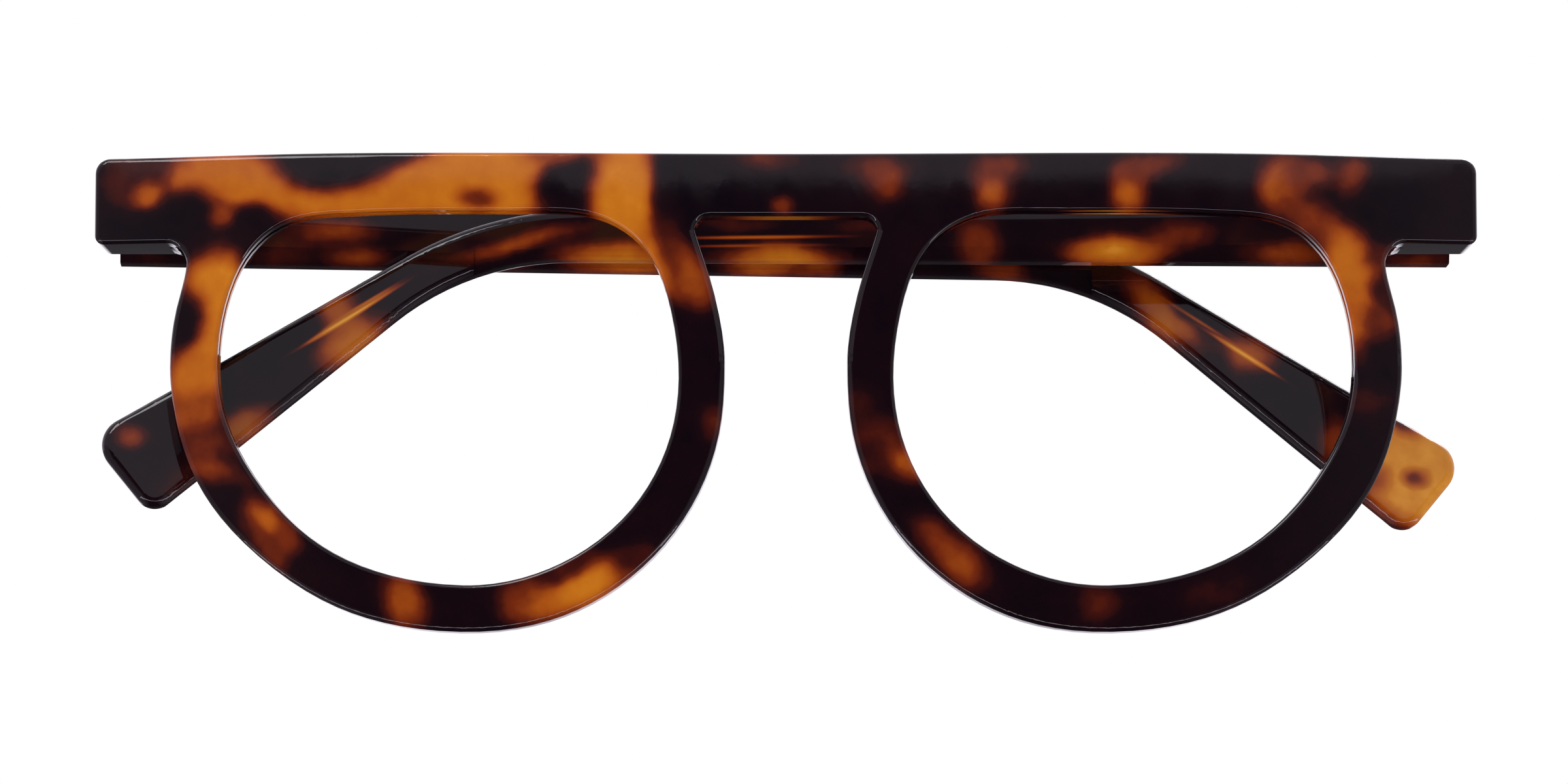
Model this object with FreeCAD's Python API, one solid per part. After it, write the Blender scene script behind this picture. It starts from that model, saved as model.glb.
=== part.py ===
"""Eyeglasses frame in acetate, at rest with its temples folded behind the front.

The origin is the middle of the bridge's back, at half the height of the front. +X is the wearer's left,
+Y points back towards the wearer's face and +Z is up. All lengths are in millimetres and angles in degrees.
Each side is built once, on the wearer's left, in its hinge's own frame: u points outboard, v runs along the
open temple and w up the hinge's pin. The right side is its mirror image.
"""

import FreeCAD, Part
import os
from math import cos, radians, sin

V = FreeCAD.Vector
ORIGIN, X_AXIS, Z_AXIS = V(0, 0, 0), V(1, 0, 0), V(0, 0, 1)
THROUGH = 60.0  # length of a cutting shape, more than any piece is deep or high

# Front
HALF_WIDTH = 70.3
WRAP_DEPTH = 6.0  # how far the ends of the front stand back from its middle
FRONT_THICKNESS = 4.0
WRAP_RADIUS = (HALF_WIDTH**2 + WRAP_DEPTH**2) / (2 * WRAP_DEPTH)
BACK_RADIUS = WRAP_RADIUS - FRONT_THICKNESS
WRAP_AXIS_Y = BACK_RADIUS  # the bridge's back is at y = 0
OUTER_ROUND = 0.55
OPENING_ROUND = 0.35
RIM_WIDEST = 2.5  # the height at which both sides of a rim run upright
GROOVE_DEPTH, GROOVE_WIDTH = 0.7, 1.2

# End pieces
END_TOP, END_BOTTOM = 23.85, 15.1
UPPER_CORNER, LOWER_CORNER = 1.5, 0.9
END_INNER = 60.9  # where the thick part of an end piece starts
BLOCK_BOTTOM = END_BOTTOM - 0.5  # it takes in the start of the curve down to the rim
END_BLOCK_ROUND = 1.6
END_BACK = 11.0  # how far back an end piece reaches, at the pin's height

# Hinges
HINGE_X, HINGE_Z = 64.7, 19.4
PIN_BEHIND_END = 4.7
PANTOSCOPIC_TILT = 5.0  # how far the open temples slope down
HINGE_Y = END_BACK + PIN_BEHIND_END * cos(radians(PANTOSCOPIC_TILT))
KNUCKLE_RADIUS, KNUCKLE_PITCH, KNUCKLE_GAP = 1.25, 1.2, 0.05
FRONT_KNUCKLES, TEMPLE_KNUCKLES = (-2, 0, 2), (-1, 1)
SCREW_RADIUS, SCREW_CLEARANCE = 0.6, 0.05
SCREW_HEAD_RADIUS, SCREW_HEAD_HEIGHT = 1.05, 0.5
SLOT_WIDTH, SLOT_DEPTH = 0.3, 0.25
LEAF_THICKNESS = 1.0
# Half width and half height of the plate on an end piece, and of the lug behind it with its depth
FRONT_LEAF_WIDE, FRONT_LEAF_TALL = 2.6, 3.2
FRONT_LUG_WIDE, FRONT_LUG_TALL, FRONT_LUG_DEEP = 1.6, 1.8, 2.4
# Start, end and half height of the plate on a temple, and of the lug under it with its depth
TEMPLE_LEAF_FROM, TEMPLE_LEAF_TO, TEMPLE_LEAF_TALL = -1.0, 9.0, 2.1
TEMPLE_LUG_FROM, TEMPLE_LUG_TO, TEMPLE_LUG_TALL, TEMPLE_LUG_DEEP = 2.0, 7.0, 1.2, 1.0
SCREW_TAIL = 0.2  # how far the screw stands out below the lowest knuckle

# Temples
TEMPLE_GAP = 0.15  # between an open temple and its end piece
TEMPLE_START = TEMPLE_GAP - PIN_BEHIND_END
TEMPLE_INNER, TEMPLE_OUTER = 1.4, HALF_WIDTH - HINGE_X
TEMPLE_OUTER_ROUND, TEMPLE_INNER_ROUND = 1.8, 0.9
BOW_START, BOW_END = 92.0, 136.0  # the stretch that curves in behind the ear
INNER_BOW, OUTER_BOW = 2.2, 2.9
FOLD_LEFT, FOLD_RIGHT = 93.0, 87.0  # from open to folded; the left temple is folded first
WIRE_RADIUS = 0.65
WIRE_U = 3.5
WIRE_BEND = 28.0
# The bevel along the lower inner edge: where its upper line starts and ends, and its slope
BEVEL_START, BEVEL_END, BEVEL_SLOPE = (TEMPLE_START, -2.25), (97.0, -4.05), 0.27

# Nose pads
PAD_CENTRE = (8.75, 0.0, -0.5)
PAD_SIZE = (1.9, 4.4, 8.6)  # half of its width, depth and height
PAD_FLARE = 12.0

# Outlines of the left half of the front, as (x, z)
TOP_EDGE = [(-67.6, END_TOP), (-52.0, 24.0), (-32.0, 23.9), (0.0, 23.6), (32.0, 23.9), (52.0, 24.0),
            (67.6, END_TOP)]
END_PIECE = [(67.6, END_TOP), (HALF_WIDTH, END_TOP), (HALF_WIDTH, END_BOTTOM), (62.9, END_BOTTOM)]
UNDER_END = [(62.9, END_BOTTOM), (61.35, 14.4), (60.8, 12.8)]
OUTER_SIDE = [(60.8, 12.8), (61.75, 8.6), (62.4, RIM_WIDEST)]
RIM = [(62.4, RIM_WIDEST), (62.1, -1.0), (59.2, -9.8), (53.1, -16.9), (45.0, -22.1), (34.5, -24.5),
       (23.5, -23.4), (14.0, -17.8), (8.6, -10.4), (6.5, -3.6), (6.15, RIM_WIDEST)]
NOSE_SIDE = [(6.15, RIM_WIDEST), (6.8, 7.6), (7.8, 11.5), (9.15, 15.6)]
NOTCH_CORNER = [(9.15, 15.6), (8.75, 16.85), (7.4, 17.25)]
OPENING = [(32.5, -19.9), (23.6, -18.2), (15.5, -12.3), (11.6, -4.9), (10.8, 1.0), (11.6, 7.8), (14.3, 14.2),
           (18.3, 17.1), (26.0, 17.95), (36.0, 18.05), (44.8, 17.9), (50.6, 17.0), (54.3, 14.2), (56.5, 9.8),
           (57.5, 4.0), (56.9, -2.2), (54.0, -8.3), (46.6, -15.9)]

# Side outline of a temple, as (v, w, radius of the corner)
TEMPLE_SIDE = [(TEMPLE_START, -4.3, 0.0), (97.3, -4.85, 28.0), (129.6, -32.3, 2.1), (136.2, -24.3, 2.9),
               (96.1, 0.0, 36.0), (TEMPLE_START, 4.0, 0.0)]
WIRE_PATH = [(9.5, -0.3, 0.0), (96.2, -2.6, WIRE_BEND), (119.2, -18.9, 0.0)]


def in_xz(point):
    return V(point[0], 0, point[1])


def in_vw(point):
    return V(0, point[0], point[1])


def spline(points, start, end):
    """A smooth edge through (x, z) points, with its directions at both ends."""
    curve = Part.BSplineCurve()
    first, last = in_xz(start).normalize(), in_xz(end).normalize()
    curve.interpolate(Points=[in_xz(p) for p in points], InitialTangent=first, FinalTangent=last, Scale=False)
    return curve.toShape()


def closed_spline(points):
    curve = Part.BSplineCurve()
    curve.interpolate(Points=[in_xz(p) for p in points], PeriodicFlag=True)
    return Part.Wire([curve.toShape()])


def rounded(corners, radii, closed):
    """Edges along a run of corners, each rounded by its own radius."""
    count = len(corners)
    starts, ends, edges = list(corners), list(corners), []
    for i in range(count):
        if radii[i] == 0:
            continue
        back = (corners[i - 1] - corners[i]).normalize()
        ahead = (corners[(i + 1) % count] - corners[i]).normalize()
        half = back.getAngle(ahead) / 2
        reach = radii[i] * cos(half) / sin(half)
        starts[i] = corners[i] + back * reach
        ends[i] = corners[i] + ahead * reach
        middle = corners[i] + (back + ahead).normalize() * (radii[i] / sin(half) - radii[i])
        edges.append(Part.Arc(starts[i], middle, ends[i]).toShape())
    for i in range(count if closed else count - 1):
        following = (i + 1) % count
        if ends[i].distanceToPoint(starts[following]) > 1e-6:
            edges.append(Part.LineSegment(ends[i], starts[following]).toShape())
    return edges


def as_wire(edges):
    return Part.Wire(Part.sortEdges(edges)[0])


def box(low, high):
    size = V(*high) - V(*low)
    return Part.makeBox(size.x, size.y, size.z, V(*low))


def mirrored(shape):
    return shape.mirror(ORIGIN, X_AXIS)


def from_hinge(shape, fold=0.0):
    """Put a shape built in the left hinge's frame in place, folded by an angle about the pin."""
    placed = shape.copy()
    placed.rotate(ORIGIN, Z_AXIS, fold)
    placed.rotate(ORIGIN, X_AXIS, -PANTOSCOPIC_TILT)
    placed.translate(V(HINGE_X, HINGE_Y, HINGE_Z))
    return placed


def wrap_cylinder(radius):
    """An upright cylinder about the axis that the front is bent around."""
    return Part.makeCylinder(radius, THROUGH, V(0, WRAP_AXIS_Y, -THROUGH / 2), Z_AXIS)


def prism(wire):
    """A solid as deep as the whole front, from a wire in the XZ plane."""
    face = Part.Face(wire)
    face.translate(V(0, -THROUGH / 2, 0))
    return face.extrude(V(0, THROUGH, 0))


def front_outline():
    half = rounded([in_xz(p) for p in END_PIECE], [0, UPPER_CORNER, LOWER_CORNER, 0], closed=False)
    half.append(spline(UNDER_END, (-1, 0), (0.1, -1)))
    half.append(spline(OUTER_SIDE, (0.1, -1), (0, -1)))
    half.append(spline(RIM, (0, -1), (0, 1)))
    half.append(spline(NOSE_SIDE, (0, 1), (0.3, 1)))
    half.append(spline(NOTCH_CORNER, (0.3, 1), (-1, 0)))
    edges = half + [mirrored(edge) for edge in half]
    edges.append(spline(TOP_EDGE, (1, 0), (1, 0)))
    notch_end = in_xz(NOTCH_CORNER[-1])
    edges.append(Part.LineSegment(notch_end, V(-notch_end.x, 0, notch_end.z)).toShape())
    return as_wire(edges)


def spots(edge):
    first, last = edge.ParameterRange
    return [edge.valueAt(first + (last - first) * share) for share in (0.0, 0.35, 0.7, 1.0)]


def face_edges(shape):
    """The edges that lie on the plate's front or back face."""
    axis = V(0, WRAP_AXIS_Y, 0)
    radii = [[(V(p.x, p.y, 0) - axis).Length for p in spots(edge)] for edge in shape.Edges]
    return [edge for edge, found in zip(shape.Edges, radii)
            if any(all(abs(r - face) < 1e-3 for r in found) for face in (WRAP_RADIUS, BACK_RADIUS))]


def half_plate():
    """The left half of the curved plate. It is rounded above and below one height, then joined."""
    sheet = wrap_cylinder(WRAP_RADIUS).cut(wrap_cylinder(BACK_RADIUS))
    blank = prism(front_outline()).common(sheet)
    pieces = []
    reach = THROUGH / 2
    for low, high in ((-reach, RIM_WIDEST), (RIM_WIDEST, reach)):
        piece = blank.common(box((0, -reach, low), (2 * HALF_WIDTH, reach, high))).Solids[0]
        edges = [e for e in face_edges(piece)
                 if any(p.x > 1e-6 for p in spots(e))
                 and any(abs(p.z - RIM_WIDEST) > 1e-6 for p in spots(e))]
        pieces.append(piece.makeFillet(OUTER_ROUND, edges))
    return pieces[0].fuse(pieces[1]).removeSplitter().Solids[0]


def grown(points, depth):
    """The points of a closed outline, moved outwards along their normals."""
    curve = closed_spline(points).Edges[0].Curve
    moved = []
    for x, z in points:
        along = curve.tangent(curve.parameter(in_xz((x, z))))[0]
        moved.append((x - along.z * depth, z + along.x * depth))
    return moved


def cut_opening(plate):
    """Cut the lens opening, round its edges and cut the groove that holds a lens."""
    opening = closed_spline(OPENING)
    plate = plate.cut(prism(opening)).Solids[0]
    rim = [edge for edge in face_edges(plate) if abs(edge.Length - opening.Length) < 3]
    plate = plate.makeFillet(OPENING_ROUND, rim).Solids[0]
    middle = WRAP_RADIUS - FRONT_THICKNESS / 2
    layer = wrap_cylinder(middle + GROOVE_WIDTH / 2).cut(wrap_cylinder(middle - GROOVE_WIDTH / 2))
    groove = prism(closed_spline(grown(OPENING, GROOVE_DEPTH))).common(layer)
    return plate.cut(groove).Solids[0]


def end_block():
    """The thick part of an end piece, ending square to the open temple."""
    blank = prism(front_outline()).common(wrap_cylinder(WRAP_RADIUS - FRONT_THICKNESS / 4))
    blank = blank.common(box((END_INNER, -THROUGH, BLOCK_BOTTOM), (2 * HALF_WIDTH, THROUGH, THROUGH)))
    behind = box((-THROUGH, -PIN_BEHIND_END, -THROUGH), (THROUGH, THROUGH, THROUGH))
    block = blank.cut(from_hinge(behind)).Solids[0]
    inner_corner = [e for e in block.Edges
                    if all(abs(p.x - END_INNER) < 1e-6 and p.y > END_BACK - 2 for p in spots(e))]
    return block.makeFillet(END_BLOCK_ROUND, inner_corner).Solids[0]


def front():
    half = cut_opening(half_plate()).fuse(end_block()).removeSplitter()
    half = half.cut(from_hinge(front_leaf()))
    return half.fuse(mirrored(half)).removeSplitter().Solids[0]


def nose_pad():
    """A long rounded pad, seated on the back of the rim beside the nose."""
    pad = Part.makeSphere(1.0, ORIGIN, Z_AXIS)
    stretch = FreeCAD.Matrix()
    stretch.scale(*PAD_SIZE)
    pad = pad.transformGeometry(stretch)
    pad.rotate(ORIGIN, Z_AXIS, PAD_FLARE)
    pad.translate(V(*PAD_CENTRE))
    return pad.common(wrap_cylinder(BACK_RADIUS)).Solids[0]


def knuckle(level):
    low = level * KNUCKLE_PITCH - (KNUCKLE_PITCH - KNUCKLE_GAP) / 2
    return low, KNUCKLE_PITCH - KNUCKLE_GAP


def front_leaf():
    """The leaf sunk in an end piece, with the outer and middle knuckles."""
    back = -PIN_BEHIND_END
    sunk = back - LEAF_THICKNESS
    leaf = box((-FRONT_LEAF_WIDE, sunk, -FRONT_LEAF_TALL), (FRONT_LEAF_WIDE, back, FRONT_LEAF_TALL))
    leaf = leaf.fuse(box((-FRONT_LUG_WIDE, sunk - FRONT_LUG_DEEP, -FRONT_LUG_TALL),
                         (FRONT_LUG_WIDE, sunk, FRONT_LUG_TALL)))
    for level in FRONT_KNUCKLES:
        low, height = knuckle(level)
        leaf = leaf.fuse(box((-KNUCKLE_RADIUS, back, low), (KNUCKLE_RADIUS, 0, low + height)))
        leaf = leaf.fuse(Part.makeCylinder(KNUCKLE_RADIUS, height, V(0, 0, low), Z_AXIS))
    bore = Part.makeCylinder(SCREW_RADIUS, THROUGH, V(0, 0, -THROUGH / 2), Z_AXIS)
    return leaf.cut(bore).removeSplitter().Solids[0]


def temple_leaf():
    """The leaf sunk in a temple's inner face, with the two knuckles between the front's three."""
    inner = TEMPLE_INNER
    sunk = inner + LEAF_THICKNESS
    leaf = box((inner, TEMPLE_LEAF_FROM, -TEMPLE_LEAF_TALL), (sunk, TEMPLE_LEAF_TO, TEMPLE_LEAF_TALL))
    leaf = leaf.fuse(box((sunk, TEMPLE_LUG_FROM, -TEMPLE_LUG_TALL),
                         (sunk + TEMPLE_LUG_DEEP, TEMPLE_LUG_TO, TEMPLE_LUG_TALL)))
    for level in TEMPLE_KNUCKLES:
        low, height = knuckle(level)
        leaf = leaf.fuse(box((0, -KNUCKLE_RADIUS, low), (inner, KNUCKLE_RADIUS, low + height)))
        leaf = leaf.fuse(Part.makeCylinder(KNUCKLE_RADIUS, height, V(0, 0, low), Z_AXIS))
    bore = Part.makeCylinder(SCREW_RADIUS + SCREW_CLEARANCE, THROUGH, V(0, 0, -THROUGH / 2), Z_AXIS)
    return leaf.cut(bore).removeSplitter().Solids[0]


def hinge_screw():
    low, height = knuckle(FRONT_KNUCKLES[-1])
    top = low + height
    bottom = knuckle(FRONT_KNUCKLES[0])[0] - SCREW_TAIL
    shank = Part.makeCylinder(SCREW_RADIUS, top - bottom, V(0, 0, bottom), Z_AXIS)
    head = Part.makeCylinder(SCREW_HEAD_RADIUS, SCREW_HEAD_HEIGHT, V(0, 0, top), Z_AXIS)
    crown = top + SCREW_HEAD_HEIGHT
    slot = box((-THROUGH, -SLOT_WIDTH / 2, crown - SLOT_DEPTH), (THROUGH, SLOT_WIDTH / 2, crown + SLOT_DEPTH))
    return shank.fuse(head).cut(slot).removeSplitter().Solids[0]


def temple_plan():
    """A temple seen from above: straight, then curving in behind the ear. It is taller than the temple."""
    span = BOW_END - BOW_START
    halfway = BOW_START + span / 2
    corners = [V(TEMPLE_INNER, TEMPLE_START, 0), V(TEMPLE_OUTER, TEMPLE_START, 0),
               V(TEMPLE_OUTER, BOW_START, 0), V(TEMPLE_OUTER - OUTER_BOW, BOW_END, 0),
               V(TEMPLE_INNER - INNER_BOW, BOW_END, 0), V(TEMPLE_INNER, BOW_START, 0)]
    outer_middle = V(TEMPLE_OUTER - OUTER_BOW / 4, halfway, 0)
    inner_middle = V(TEMPLE_INNER - INNER_BOW / 4, halfway, 0)
    edges = [Part.LineSegment(corners[0], corners[1]).toShape(),
             Part.LineSegment(corners[1], corners[2]).toShape(),
             Part.Arc(corners[2], outer_middle, corners[3]).toShape(),
             Part.LineSegment(corners[3], corners[4]).toShape(),
             Part.Arc(corners[4], inner_middle, corners[5]).toShape(),
             Part.LineSegment(corners[5], corners[0]).toShape()]
    face = Part.Face(as_wire(edges))
    face.translate(V(0, 0, -THROUGH))
    return face.extrude(V(0, 0, 2 * THROUGH))


def bow(v, depth):
    """How far a face of the temple has curved in at v."""
    share = max(0.0, v - BOW_START) / (BOW_END - BOW_START)
    return depth * share * share


def long_edges(shape, face_u, depth):
    """The edges around a temple's inner or outer face, apart from the end at the hinge."""
    seams = (TEMPLE_START, BOW_START)
    return [edge for edge in shape.Edges
            if not any(all(abs(p.y - seam) < 1e-6 for p in spots(edge)) for seam in seams)
            and all(abs(p.x - face_u + bow(p.y, depth)) < 0.05 for p in spots(edge))]


def bevel_cutter():
    """What the shallow bevel takes off the lower inner edge of a temple."""
    v, w = BEVEL_START
    deep = TEMPLE_INNER + 4 * BEVEL_SLOPE
    corners = [V(TEMPLE_INNER, v, w), V(deep, v, w - 4), V(0, v, w - 4), V(0, v, w)]
    face = Part.Face(Part.makePolygon(corners + corners[:1]))
    return face.extrude(in_vw(BEVEL_END) - in_vw(BEVEL_START))


def temple_blank():
    side = rounded([in_vw(c) for c in TEMPLE_SIDE], [c[2] for c in TEMPLE_SIDE], closed=True)
    face = Part.Face(as_wire(side))
    face.translate(V(-THROUGH / 2, 0, 0))
    blank = face.extrude(V(THROUGH, 0, 0)).common(temple_plan()).Solids[0]
    blank = blank.makeFillet(TEMPLE_OUTER_ROUND, long_edges(blank, TEMPLE_OUTER, OUTER_BOW)).Solids[0]
    blank = blank.makeFillet(TEMPLE_INNER_ROUND, long_edges(blank, TEMPLE_INNER, INNER_BOW)).Solids[0]
    return blank.cut(bevel_cutter()).Solids[0]


def core_wire():
    """The stiffening wire, from just behind the hinge into the dropped tip."""
    path = as_wire(rounded([in_vw(c) + V(WIRE_U, 0, 0) for c in WIRE_PATH], [c[2] for c in WIRE_PATH],
                           closed=False))
    start = in_vw(WIRE_PATH[0]) + V(WIRE_U, 0, 0)
    along = in_vw(WIRE_PATH[1]) - in_vw(WIRE_PATH[0])
    section = Part.Wire([Part.makeCircle(WIRE_RADIUS, start, along)])
    return path.makePipeShell([section], True, False)


def temple():
    solid = temple_blank()
    return solid.cut(temple_leaf()).cut(core_wire())


def save(name, shape):
    """Write one node, as a single solid."""
    if len(shape.Solids) != 1 or not shape.isValid():
        raise ValueError(name + " is not one valid solid")
    shape.Solids[0].exportStep("parts/" + name + ".step")
    print(name, round(shape.Volume, 2))


def main():
    os.makedirs("parts", exist_ok=True)
    save("front", front())
    for side, fold in (("left", FOLD_LEFT), ("right", FOLD_RIGHT)):
        placed = {
            "nose_pad": nose_pad(),
            "front_hinge_leaf": from_hinge(front_leaf()),
            "hinge_screw": from_hinge(hinge_screw()),
            "temple": from_hinge(temple(), fold),
            "temple_hinge_leaf": from_hinge(temple_leaf(), fold),
            "core_wire": from_hinge(core_wire(), fold),
        }
        for name, shape in placed.items():
            save(name + "_" + side, shape if side == "left" else mirrored(shape))


main()
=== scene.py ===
"""Studio scene of a tortoise acetate eyeglasses frame, folded, seen from the front.

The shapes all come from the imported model. This script gives them their materials:
polished tortoise acetate on the front, the pads and the two temples, and steel on
the hinges, screws and core wires. Lengths in the patterns are in millimetres.
"""
import math

import bpy
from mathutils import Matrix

MM = 0.001  # one millimetre, in metres

# Camera: it looks slightly up at the middle of the frame from a little below it.
# Lengths are in millimetres and the rise is in degrees.
CAMERA_DISTANCE = 600
CAMERA_RISE = 5.5
CAMERA_TARGET = (-0.2, 2, 0)
CAMERA_LENS = 135.85

# Floor
FLOOR_DEPTH = 75  # millimetres
FLOOR_SIZE = 6.0  # metres
FLOOR_COLOUR = (244, 244, 244)
FLOOR_ROUGHNESS = 0.9

# What reflections see. Edges are parts of a unit direction: up, back or sideways.
SOFTBOX_EDGE = 7.65  # elevation of the front softbox's lower edge, in degrees
SOFTBOX_BLUR = 0.05  # degrees
SOFTBOX_GLOW = 0.5
BEHIND_EDGES = (-0.15, 0.25)
RAISED_EDGES = (-0.13, -0.03)
BACKDROP_GLOW = 1.0
STRIP_EDGES = (-0.64, -0.55)
STRIP_GLOW = 4.0
SIDE_EDGES = (0.24, 0.62)
SIDE_GLOW = 0.34
ROOM_GLOW = 0.03
MIRRORED_TINT = (0.95, 0.90, 1.0)

# What lights the object from all round, and what the camera sees as the background
FILL_GLOW = 0.62
BACKGROUND_GLOW = 1.0

# Soft lights: place and size in metres, power in watts
SOFT_LIGHTS = {
    "key": ((-0.6, -0.8, 1.1), 0.7, 9),
    "rim": ((0.5, 0.9, 0.9), 0.6, 5),
}

# Colours of the acetate by tone. Tones run from 0, almost black, to 1, clear amber, and on to
# the colour of the painted highlight where a core wire shines through the sheet.
BRIGHTEST = 1.25
ACETATE_RAMP = (
    (0.00, (12, 5, 12)),
    (0.20, (27, 8, 14)),
    (0.38, (66, 19, 14)),
    (0.55, (118, 42, 15)),
    (0.75, (172, 82, 20)),
    (1.00, (202, 118, 27)),
    (BRIGHTEST, (250, 178, 66)),
)

# Pattern and polish of the acetate
PATCH_EDGE = 1.6  # half the width of a patch's soft border
SOFTEST = 0.85  # the same for the smallest patches, as a share of their size
SHEET_DEPTH = 40.0  # a patch hardly changes through the thickness of the sheet
WARP_SIZE = 6.0
WARP_REACH = 0.8
GRAIN_SIZE = 1.6
GRAIN_REACH = 0.16
GROUND_SIZE = 4.0  # lumps in the tone of the dark ground
GROUND_TONE = 0.14
CLOUD_SIZE = 2.2  # lumps in the tone all over
CLOUD_DETAIL = 3.0
CLOUD_SPREAD = 0.20
POLISH_SIZE = 3.0
POLISH_DETAIL = 4.0
POLISH_BEST = 0.012
POLISH_SPREAD = 0.03
RIPPLE_STRENGTH = 0.04
RIPPLE_HEIGHT = 0.02
ACETATE_IOR = 1.49
SUBSURFACE_SHARE = 0.12
SUBSURFACE_REACH = 1.2
SUBSURFACE_COLOURS = (1.0, 0.45, 0.2)

# Marks and blotches of the metals
MARK_SIZE = 0.25
MARK_DETAIL = 4.0
MARK_STRENGTH = 0.25
MARK_HEIGHT = 0.01
BLOTCH_SIZE = 1.5
BLOTCH_EDGES = (0.3, 0.7)
BLOTCH_SHADE = 0.82

# Each metal: its colour, its roughness between marks and on them, and how much closer
# together the marks are along x, y and z.
HINGE_STEEL = ((206, 203, 196), 0.16, 0.38, (1, 1, 6))
SCREW_STEEL = ((190, 188, 184), 0.22, 0.45, (4, 4, 1))
CORE_STEEL = ((196, 188, 168), 0.20, 0.40, (1, 4, 4))

# Each patch: middle across, middle up, half width, half height, tilt in degrees, tone.
# Later patches cover earlier ones.
FRONT_PATCHES = (
    # left half of the brow, from the end piece to the bridge
    (-56.5, 21.6, 7.8, 3.2, 0, 0.82),
    (-66.4, 21.4, 3.4, 3.4, 0, 0.34),
    (-64.7, 19.9, 1.5, 1.2, 20, 0.74),
    (-60.9, 17.8, 3.3, 2.4, 10, 0.03),
    (-65.2, 15.6, 5.6, 1.9, 0, 0.03),
    (-42.0, 20.0, 13.0, 3.4, 0, 0.88),
    (-30.0, 21.2, 7.6, 4.6, 0, 0.93),
    (-46.0, 23.6, 5.6, 3.4, -4, 0.02),
    (-41.6, 24.2, 4.2, 1.8, 6, 0.06),
    (-31.1, 19.4, 1.9, 1.0, 0, 0.48),
    (-22.4, 20.0, 2.8, 2.4, 0, 0.02),
    (-22.5, 24.0, 3.6, 1.2, 0, 0.62),
    (-16.4, 19.6, 3.3, 7.4, 0, 0.98),
    (-54.0, 16.8, 2.2, 1.8, 0, 0.06),
    (-57.4, 17.6, 1.3, 1.5, 0, 0.58),
    (-57.0, 14.4, 3.0, 1.6, 0, 0.24),
    # bridge
    (-5.6, 20.6, 7.0, 7.0, 0, 0.02),
    (-2.0, 23.0, 3.2, 1.3, 0, 0.42),
    (-0.5, 18.2, 1.2, 1.0, 0, 0.54),
    (9.2, 22.0, 3.4, 1.4, 0, 0.42),
    (10.0, 20.6, 1.8, 1.8, 0, 0.56),
    # right half of the brow
    (20.9, 20.2, 1.9, 2.6, 0, 0.72),
    (21.6, 22.4, 2.8, 1.3, 10, 0.50),
    (34.7, 20.0, 1.8, 2.7, -6, 0.76),
    (36.6, 22.5, 3.4, 1.2, 14, 0.52),
    (50.0, 21.0, 2.3, 3.1, -10, 0.68),
    (53.2, 21.9, 2.6, 1.5, 0, 0.50),
    (57.6, 21.6, 1.9, 2.2, 0, 0.56),
    (53.0, 17.6, 2.8, 2.0, -30, 0.56),
    (61.5, 18.6, 4.0, 3.4, 0, 0.02),
    # left rim, round from the outer side to the nose
    (-57.8, 10.4, 3.4, 3.4, 0, 0.98),
    (-58.4, 5.4, 2.8, 3.6, 0, 0.92),
    (-61.0, 6.6, 1.7, 3.4, -8, 0.06),
    (-59.6, 1.2, 3.4, 2.8, 0, 0.84),
    (-59.8, -2.4, 3.4, 2.4, 0, 0.64),
    (-58.6, -5.8, 3.4, 1.8, 0, 0.46),
    (-57.4, -8.6, 3.4, 1.3, -20, 0.62),
    (-55.6, -11.4, 2.8, 1.9, -40, 0.12),
    (-52.2, -13.4, 2.6, 1.6, -45, 0.78),
    (-50.4, -15.6, 1.8, 1.3, -45, 0.58),
    (-51.8, -16.6, 3.8, 1.2, -45, 0.48),
    (-47.6, -18.4, 2.2, 2.0, -40, 0.12),
    (-38.4, -21.4, 2.3, 3.2, 12, 0.66),
    (-26.2, -21.6, 2.8, 2.6, 0, 0.56),
    (-19.9, -20.4, 4.8, 2.1, 26, 0.98),
    (-21.8, -18.2, 3.0, 1.2, 18, 0.34),
    (-15.2, -17.4, 2.0, 1.4, 30, 0.34),
    (-7.2, -3.6, 1.4, 1.9, 0, 0.40),
    (-12.9, 12.6, 2.4, 3.6, 25, 0.86),
    (-11.2, 14.0, 1.4, 4.0, 12, 0.36),
    (-9.3, 10.8, 1.8, 2.9, 20, 0.66),
    # right rim, round from the nose to the outer side
    (7.0, -1.8, 1.8, 1.6, 0, 0.30),
    (9.4, -5.0, 2.8, 1.6, 0, 0.42),
    (11.6, -8.0, 2.2, 2.2, 0, 0.66),
    (8.6, -8.0, 1.4, 1.8, 0, 0.30),
    (11.2, -11.2, 3.0, 1.8, -30, 0.06),
    (14.4, -14.8, 2.0, 1.6, -50, 0.44),
    (17.4, -17.7, 3.4, 1.9, -42, 0.66),
    (31.2, -21.9, 1.9, 1.8, 0, 0.42),
    (43.0, -20.6, 3.4, 1.7, 15, 0.26),
    (58.6, -1.2, 3.0, 1.7, 0, 0.28),
    (57.2, 12.2, 2.9, 4.6, 14, 0.88),
    (60.6, 13.6, 1.9, 1.5, 0, 0.42),
    (57.3, 7.4, 2.0, 3.6, 0, 0.78),
    (60.5, 7.2, 1.9, 1.9, 0, 0.48),
    (60.8, 10.4, 1.5, 1.3, 0, 0.26),
)

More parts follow.
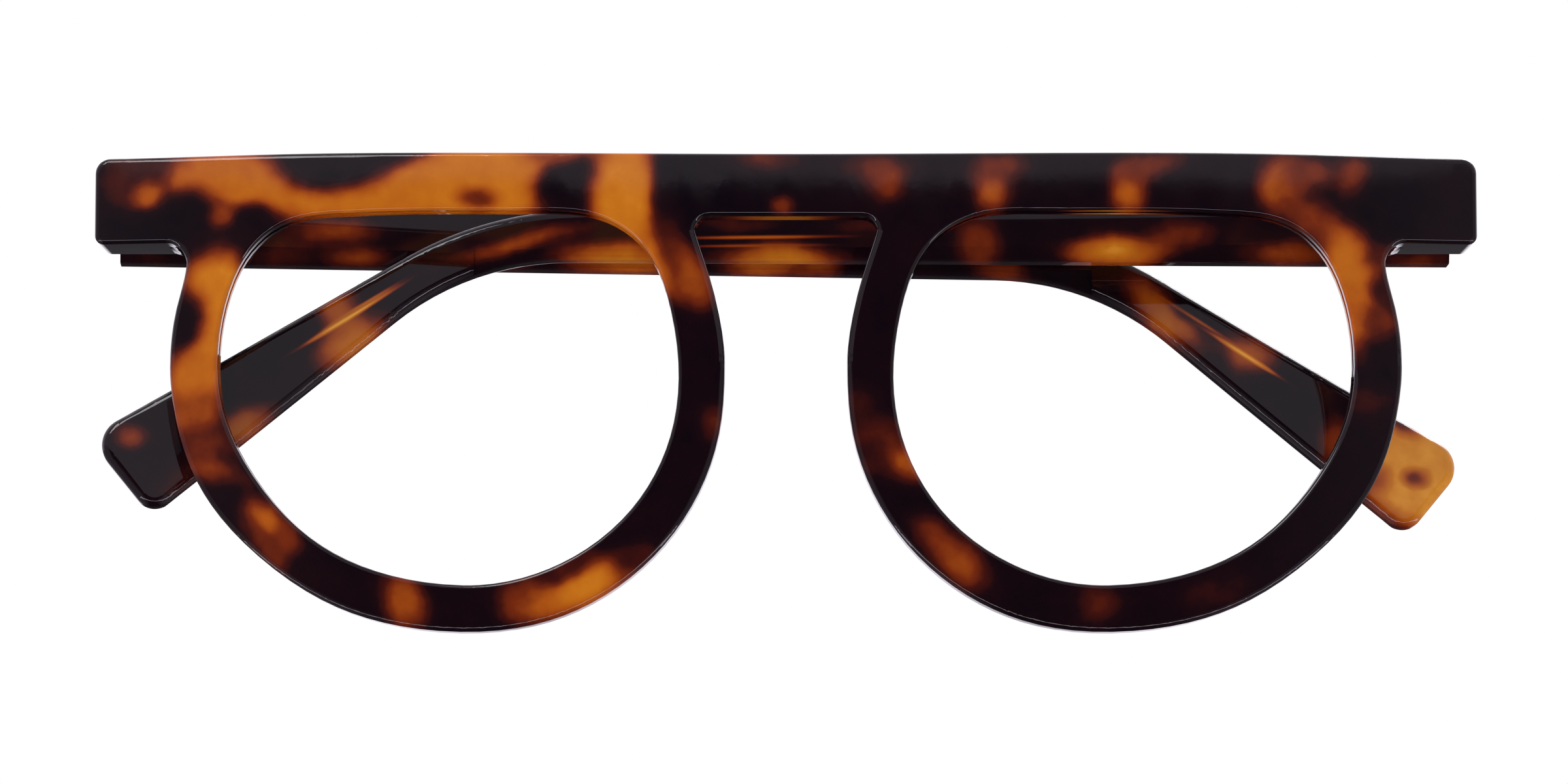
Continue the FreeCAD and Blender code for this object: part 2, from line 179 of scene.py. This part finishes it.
# The left temple folds in first, so it lies next to the front. Its tip is at -X.
LEFT_TEMPLE_PATCHES = (
    (66.0, 15.2, 3.2, 1.2, 0, 0.50),
    (52.0, 15.7, 4.4, 1.5, 0, 0.62),
    (41.2, 17.8, 3.6, 1.5, 0, 0.52),
    (34.2, 16.0, 4.6, 1.6, 0, 1.10),
    (20.2, 16.6, 2.6, 3.0, 0, 0.52),
    (-0.4, 14.5, 6.0, 1.9, 0, 1.00),
    (-17.4, 14.5, 5.6, 2.0, 0, 1.00),
    (9.0, 18.6, 4.0, 0.8, 0, 0.36),
    (-5.0, 18.6, 4.0, 0.8, 0, 0.36),
    (-27.4, 16.4, 6.8, 1.0, 16, 0.62),
    (-46.2, 9.4, 2.3, 2.6, 32, 0.72),
    (-44.6, 5.8, 4.0, 2.3, 34, 0.88),
    (-52.6, 5.6, 4.0, 2.2, 32, 0.04),
    (-55.6, -3.1, 3.2, 1.6, 34, 0.84),
    (-67.0, -4.1, 1.6, 1.2, 0, 0.58),
    (-61.4, -8.6, 3.0, 1.8, 40, 0.28),
)

# The right temple folds over the left one. Its tip is at +X.
RIGHT_TEMPLE_PATCHES = (
    (-66.0, 15.6, 3.4, 1.4, 0, 0.26),
    (-52.6, 15.9, 3.2, 1.6, 0, 0.38),
    (-47.2, 18.4, 4.2, 1.5, 0, 0.66),
    (-44.8, 15.5, 3.2, 1.2, 0, 0.66),
    (-29.0, 15.4, 3.0, 1.2, 0, 0.54),
    (-21.6, 15.4, 2.4, 1.6, 0, 0.50),
    (-16.0, 15.6, 4.6, 1.9, 0, 0.94),
    (-2.2, 15.4, 4.4, 1.8, 0, 0.94),
    (3.6, 15.4, 2.2, 1.8, 0, 0.74),
    (22.6, 14.6, 2.8, 1.6, -8, 0.64),
    (37.4, 12.6, 3.0, 1.8, -30, 0.54),
    (40.2, 9.4, 4.4, 2.4, -38, 0.90),
    (43.4, 10.4, 3.6, 1.1, -34, 0.08),
    (48.6, 6.0, 3.2, 2.3, -30, 0.80),
    (43.8, 4.6, 2.6, 1.2, -38, 0.20),
    (53.4, 0.6, 5.2, 2.6, -34, 0.03),
    (57.4, -3.6, 1.8, 2.6, 0, 0.62),
    # the thin tip: real amber, brightened past clear amber as painted light shining through it
    (67.0, -6.4, 8.2, 7.6, 0, 1.08),
    (64.4, -1.6, 1.8, 0.9, -30, 0.30),
    (65.8, -7.2, 1.2, 0.9, 0, 0.42),
    (61.4, -7.4, 1.5, 1.4, 0, 0.58),
)


# Where a core wire shows through the acetate, its shine is painted into the colour as bright
# streaks, a painted highlight: the same six values as a patch.
LEFT_TEMPLE_WIRE_HIGHLIGHTS = (
    (-44.8, 8.6, 5.4, 0.24, 33, 1.25),
    (-43.4, 9.9, 3.8, 0.20, 33, 0.92),
    (-3.0, 17.2, 8.0, 0.20, 1, 0.82),
    (-4.0, 16.3, 7.0, 0.16, 1, 0.66),
)
RIGHT_TEMPLE_WIRE_HIGHLIGHTS = (
    (48.0, 5.8, 4.2, 0.24, -33, 1.25),
    (43.2, 9.4, 3.8, 0.20, -33, 0.82),
)


def linear(level):
    """One sRGB level, 0 to 255, as linear light, by the standard's own curve."""
    share = level / 255
    return share / 12.92 if share <= 0.04045 else ((share + 0.055) / 1.055) ** 2.4


def colour(levels):
    """An opaque colour, as sockets take it, from three sRGB levels."""
    return tuple(linear(level) for level in levels) + (1.0,)


# ---- shader nodes ----

def add(tree, kind, **inputs):
    """A node of that kind with its inputs set by name. A socket given as a value is linked."""
    made = tree.nodes.new("ShaderNode" + kind)
    for name, value in inputs.items():
        fill(tree, made.inputs[name.replace("_", " ")], value)
    return made


def fill(tree, socket, value):
    if isinstance(value, bpy.types.NodeSocket):
        tree.links.new(value, socket)
    else:
        socket.default_value = value


def vector_math(tree, operation, *values):
    made = tree.nodes.new("ShaderNodeVectorMath")
    made.operation = operation
    for socket, value in zip(made.inputs, values):
        fill(tree, socket, value)
    return made.outputs["Value" if operation == "LENGTH" else "Vector"]


def number_math(tree, operation, *values):
    made = tree.nodes.new("ShaderNodeMath")
    made.operation = operation
    for socket, value in zip(made.inputs, values):
        fill(tree, socket, value)
    return made.outputs[0]


def step(tree, value, low, high):
    """A smooth change from 0 at low to 1 at high."""
    made = tree.nodes.new("ShaderNodeMapRange")
    made.interpolation_type = "SMOOTHSTEP"
    for name, number in (("Value", value), ("From Min", low), ("From Max", high)):
        fill(tree, made.inputs[name], number)
    return made.outputs[0]


def mix(tree, share, first, second):
    """A number that is first where the share is 0 and second where it is 1."""
    made = tree.nodes.new("ShaderNodeMix")
    factor, _, start, end = made.inputs[:4]
    fill(tree, factor, share)
    fill(tree, start, first)
    fill(tree, end, second)
    return made.outputs[0]


def noise(tree, place, size, detail=2.0):
    """Cloudy noise whose lumps are about size across."""
    return add(tree, "TexNoise", Vector=place, Scale=1 / size, Detail=detail)


def ramp(tree, value, stops):
    """The colour at that value, between stops of a position and three sRGB levels."""
    made = tree.nodes.new("ShaderNodeValToRGB")
    made.color_ramp.interpolation = "LINEAR"
    elements = made.color_ramp.elements
    for position, _ in stops[1:-1]:
        elements.new(position)
    for element, (position, levels) in zip(elements, stops):
        element.position = position
        element.color = colour(levels)
    tree.links.new(value, made.inputs[0])
    return made.outputs[0]


def new_material(name):
    """An empty node material with its tree, its main shader and the place on the piece."""
    material = bpy.data.materials.new(name)
    material.use_nodes = True
    tree = material.node_tree
    shader = tree.nodes["Principled BSDF"]
    place = add(tree, "TexCoord").outputs["Object"]
    return material, tree, shader, vector_math(tree, "MULTIPLY", place, (1 / MM,) * 3)


def warped(tree, place, size, reach):
    """The place moved about by noise, so that the edges of patches wander."""
    middle = (0.5,) * 3
    cloud = vector_math(tree, "SUBTRACT", noise(tree, place, size).outputs["Color"], middle)
    return vector_math(tree, "MULTIPLY_ADD", cloud, (2 * reach,) * 3, place)


def paint(tree, place, tone, patch):
    """Covers the tone with one soft oval patch."""
    across, up, half_width, half_height, tilt, value = patch
    local = tree.nodes.new("ShaderNodeMapping")
    local.vector_type = "TEXTURE"
    fill(tree, local.inputs["Vector"], place)
    local.inputs["Location"].default_value = (across, 0, up)
    local.inputs["Rotation"].default_value = (0, -math.radians(tilt), 0)
    local.inputs["Scale"].default_value = (half_width, SHEET_DEPTH, half_height)
    reach = vector_math(tree, "LENGTH", local.outputs[0])
    blur = min(SOFTEST, PATCH_EDGE / min(half_width, half_height))
    cover = step(tree, reach, 1 + blur, 1 - blur)
    return mix(tree, cover, tone, value)


def add_relief(tree, shader, height, strength, depth):
    """Fine relief in the shading of the surface, depth millimetres deep."""
    bump = add(tree, "Bump", Strength=strength, Distance=depth * MM, Height=height)
    fill(tree, shader.inputs["Normal"], bump.outputs[0])


def tortoise(name, patches, wire_highlights=()):
    """Polished acetate: amber patches with soft reddish edges in a nearly black sheet, and
    painted highlights where a core wire shines through.
    """
    material, tree, shader, place = new_material(name)
    wandering = warped(tree, place, WARP_SIZE, WARP_REACH)
    wandering = warped(tree, wandering, GRAIN_SIZE, GRAIN_REACH)
    ground = noise(tree, place, GROUND_SIZE).outputs["Fac"]
    tone = number_math(tree, "MULTIPLY", ground, GROUND_TONE)
    for patch in patches:
        tone = paint(tree, wandering, tone, patch)
    cloud = noise(tree, wandering, CLOUD_SIZE, CLOUD_DETAIL).outputs["Fac"]
    lowered = number_math(tree, "SUBTRACT", tone, CLOUD_SPREAD / 2)
    tone = number_math(tree, "MULTIPLY_ADD", cloud, CLOUD_SPREAD, lowered)
    # painted highlights: the core wire's shine laid over the pattern, at the unwarped place
    for wire_highlight in wire_highlights:
        tone = paint(tree, place, tone, wire_highlight)
    stops = [(value / BRIGHTEST, levels) for value, levels in ACETATE_RAMP]
    shown = number_math(tree, "DIVIDE", tone, BRIGHTEST)
    fill(tree, shader.inputs["Base Color"], ramp(tree, shown, stops))
    polish = noise(tree, place, POLISH_SIZE, POLISH_DETAIL).outputs["Fac"]
    rough = number_math(tree, "MULTIPLY_ADD", polish, POLISH_SPREAD, POLISH_BEST)
    fill(tree, shader.inputs["Roughness"], rough)
    shader.inputs["IOR"].default_value = ACETATE_IOR
    shader.inputs["Subsurface Weight"].default_value = SUBSURFACE_SHARE
    shader.inputs["Subsurface Radius"].default_value = SUBSURFACE_COLOURS
    shader.inputs["Subsurface Scale"].default_value = SUBSURFACE_REACH * MM
    add_relief(tree, shader, polish, RIPPLE_STRENGTH, RIPPLE_HEIGHT)
    return material


def metal(name, levels, smooth, marked, streak):
    """Bare metal with fine marks along one direction and a slightly uneven polish."""
    material, tree, shader, place = new_material(name)
    along = vector_math(tree, "MULTIPLY", place, streak)
    marks = noise(tree, along, MARK_SIZE, MARK_DETAIL).outputs["Fac"]
    blotches = noise(tree, place, BLOTCH_SIZE).outputs["Fac"]
    darker = tuple(level * BLOTCH_SHADE for level in levels)
    stops = tuple(zip(BLOTCH_EDGES, (darker, levels)))
    fill(tree, shader.inputs["Base Color"], ramp(tree, blotches, stops))
    shader.inputs["Metallic"].default_value = 1.0
    rough = number_math(tree, "MULTIPLY_ADD", marks, marked - smooth, smooth)
    fill(tree, shader.inputs["Roughness"], rough)
    add_relief(tree, shader, marks, MARK_STRENGTH, MARK_HEIGHT)
    return material


# ---- what each piece is made of ----

def dress(nodes):
    """Gives every piece its material."""
    front = tortoise("tortoise_front", FRONT_PATCHES)
    hinge = metal("hinge_steel", *HINGE_STEEL)
    screw = metal("screw_steel", *SCREW_STEEL)
    core = metal("core_steel", *CORE_STEEL)
    left = tortoise("tortoise_temple_left", LEFT_TEMPLE_PATCHES, LEFT_TEMPLE_WIRE_HIGHLIGHTS)
    right = tortoise("tortoise_temple_right", RIGHT_TEMPLE_PATCHES, RIGHT_TEMPLE_WIRE_HIGHLIGHTS)
    finish = {"front": front, "temple_left": left, "temple_right": right}
    for side in ("left", "right"):
        finish["nose_pad_" + side] = front
        finish["front_hinge_leaf_" + side] = hinge
        finish["temple_hinge_leaf_" + side] = hinge
        finish["hinge_screw_" + side] = screw
        finish["core_wire_" + side] = core
    for name, material in finish.items():
        for slot in nodes[name].material_slots:
            slot.material = material


# ---- studio ----

def make_camera():
    """The camera in front of the object and a little below it, looking slightly up."""
    rise = math.radians(CAMERA_RISE)
    target = [value * MM for value in CAMERA_TARGET]
    away = CAMERA_DISTANCE * MM
    data = bpy.data.cameras.new("camera")
    data.lens = CAMERA_LENS
    camera = bpy.data.objects.new("camera", data)
    camera.location = (
        target[0],
        target[1] - away * math.cos(rise),
        target[2] - away * math.sin(rise),
    )
    camera.rotation_euler = (math.radians(90) + rise, 0, 0)
    bpy.context.collection.objects.link(camera)
    bpy.context.scene.camera = camera


def make_floor():
    """A plain pale floor below the camera. Reflections don't see it."""
    half = FLOOR_SIZE / 2
    level = -FLOOR_DEPTH * MM
    mesh = bpy.data.meshes.new("floor")
    signs = ((-1, -1), (1, -1), (1, 1), (-1, 1))
    corners = [(x * half, y * half, level) for x, y in signs]
    mesh.from_pydata(corners, [], [(0, 1, 2, 3)])
    floor = bpy.data.objects.new("floor", mesh)
    bpy.context.collection.objects.link(floor)
    material = bpy.data.materials.new("pale_floor")
    material.use_nodes = True
    shader = material.node_tree.nodes["Principled BSDF"]
    shader.inputs["Base Color"].default_value = colour(FLOOR_COLOUR)
    shader.inputs["Roughness"].default_value = FLOOR_ROUGHNESS
    mesh.materials.append(material)
    floor.visible_glossy = False


def strip_light(tree, up, blur):
    """A bright band low in front: 1 between its edges and 0 elsewhere."""
    low, high = STRIP_EDGES
    over = step(tree, up, low - blur, low + blur)
    under = step(tree, up, high + blur, high - blur)
    return number_math(tree, "MULTIPLY", over, under)


def mirrored_light(tree):
    """What reflections see: a white backdrop behind the object, and in front of it a dark
    room with a softbox above, a bright strip low down and a soft panel on each side."""
    direction = add(tree, "SeparateXYZ", Vector=add(tree, "TexCoord").outputs["Generated"])
    across, back, up = direction.outputs
    edge = math.sin(math.radians(SOFTBOX_EDGE))
    blur = math.sin(math.radians(SOFTBOX_BLUR))
    softbox = step(tree, up, edge - blur, edge + blur)
    behind = step(tree, back, *BEHIND_EDGES)
    raised = step(tree, up, *RAISED_EDGES)
    backdrop = number_math(tree, "MULTIPLY", behind, raised)
    strip = number_math(tree, "MULTIPLY", strip_light(tree, up, blur), STRIP_GLOW)
    ahead = number_math(tree, "SUBTRACT", 1.0, behind)
    sideways = number_math(tree, "ABSOLUTE", across)
    panels = mix(tree, step(tree, sideways, *SIDE_EDGES), ROOM_GLOW, SIDE_GLOW)
    room = mix(tree, softbox, panels, SOFTBOX_GLOW)
    lit_room = number_math(tree, "MULTIPLY_ADD", strip, ahead, room)
    return mix(tree, backdrop, lit_room, BACKDROP_GLOW)


def make_world():
    """White all round for the view, a soft fill, and a studio for reflections."""
    world = bpy.data.worlds.new("studio")
    world.use_nodes = True
    bpy.context.scene.world = world
    tree = world.node_tree
    mirrored = mirrored_light(tree)
    path = add(tree, "LightPath")
    plain = mix(tree, path.outputs["Is Camera Ray"], FILL_GLOW, BACKGROUND_GLOW)
    glossy = path.outputs["Is Glossy Ray"]
    shader = tree.nodes["Background"]
    fill(tree, shader.inputs["Strength"], mix(tree, glossy, plain, mirrored))
    red, green, blue = [mix(tree, glossy, 1.0, share) for share in MIRRORED_TINT]
    tint = add(tree, "CombineXYZ", X=red, Y=green, Z=blue)
    fill(tree, shader.inputs["Color"], tint.outputs[0])


def soft_light(name, place, size, power):
    """A square soft light that faces the object's middle."""
    data = bpy.data.lights.new(name, "AREA")
    data.size = size
    data.energy = power
    light = bpy.data.objects.new(name, data)
    light.location = place
    direction = -light.location
    light.rotation_euler = direction.to_track_quat("-Z", "Y").to_euler()
    bpy.context.collection.objects.link(light)


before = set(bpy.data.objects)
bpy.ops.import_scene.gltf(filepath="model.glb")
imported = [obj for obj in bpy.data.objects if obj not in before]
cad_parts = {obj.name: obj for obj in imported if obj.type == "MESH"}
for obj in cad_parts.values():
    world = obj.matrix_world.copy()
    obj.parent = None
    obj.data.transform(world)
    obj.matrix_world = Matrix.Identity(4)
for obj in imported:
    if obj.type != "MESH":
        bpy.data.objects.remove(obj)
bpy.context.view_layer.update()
make_camera()
make_floor()
make_world()
for name, (place, size, power) in SOFT_LIGHTS.items():
    soft_light(name, place, size, power)
dress(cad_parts)
bpy.context.scene.view_settings.view_transform = "Standard"
